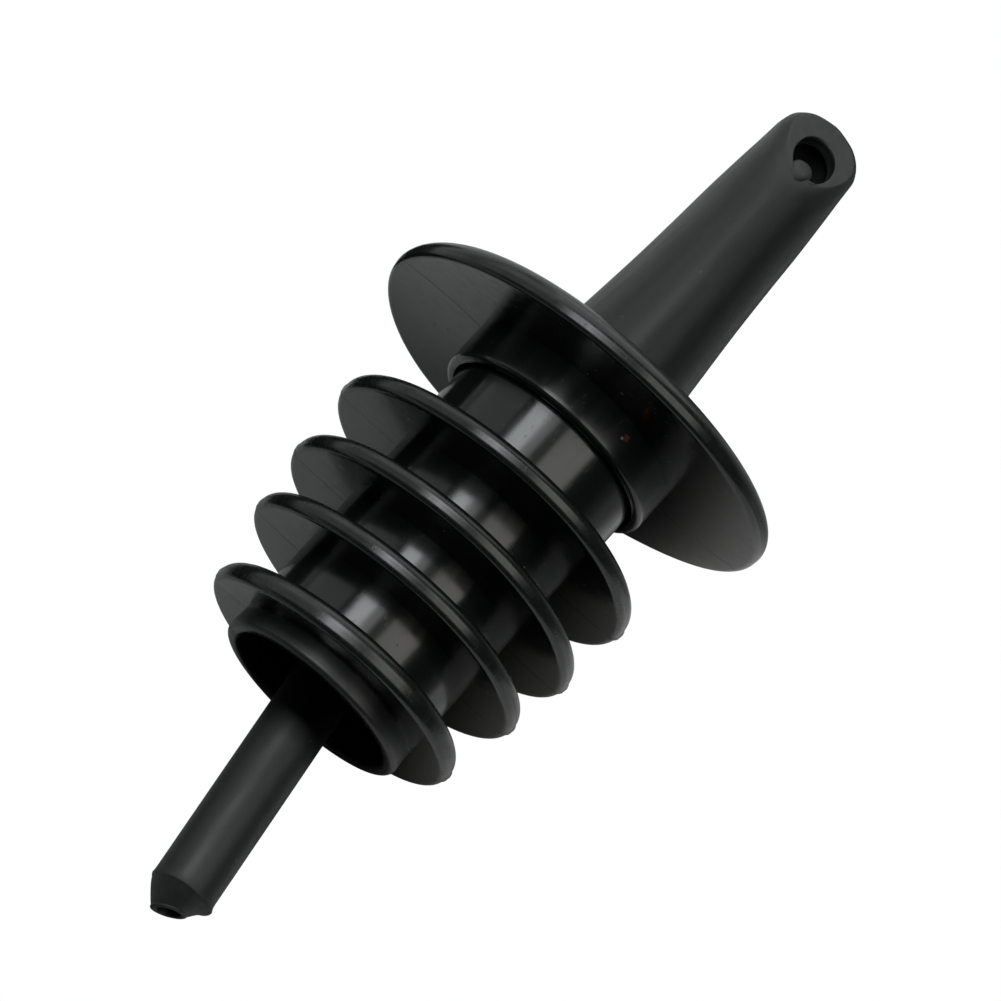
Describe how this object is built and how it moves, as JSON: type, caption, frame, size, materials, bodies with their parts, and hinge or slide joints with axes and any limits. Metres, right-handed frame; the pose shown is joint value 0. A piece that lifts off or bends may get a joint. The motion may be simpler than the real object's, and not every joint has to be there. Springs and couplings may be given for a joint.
{
  "type": "liquor pour spout",
  "caption": "Black plastic free-flow pour spout: angled oval nozzle, flat collar, finned stopper for a bottle neck and a leaning breather tube.",
  "frame": {"origin": "on the stopper's axis, in the plane of the collar's underside, where the spout sits on a bottle's lip", "axes": "+Z along the stopper's axis towards the nozzle; the nozzle's oblique cut and mouth face -Y"},
  "size_m": [0.038, 0.038, 0.0895],
  "materials": {
    "spout_plastic": "satin",
    "stopper_plastic": "semi-gloss",
    "tube_plastic": "satin"
  },
  "bodies": {
    "stopper": {"finned_stopper": "stopper_plastic"},
    "spout": {"spout_body": "spout_plastic"},
    "tube": {"breather_tube": "tube_plastic"}
  },
  "joints": [
    {"name": "spout_twist", "type": "hinge", "parent": "stopper", "child": "spout", "pos_m": [0, 0, 0], "axis": [0, 0, 1], "continuous": true},
    {"name": "tube_pull", "type": "slide", "parent": "stopper", "child": "tube", "axis": [0.1333, -0.0888, -0.9871], "range_m": [0, 0.006]}
  ]
}
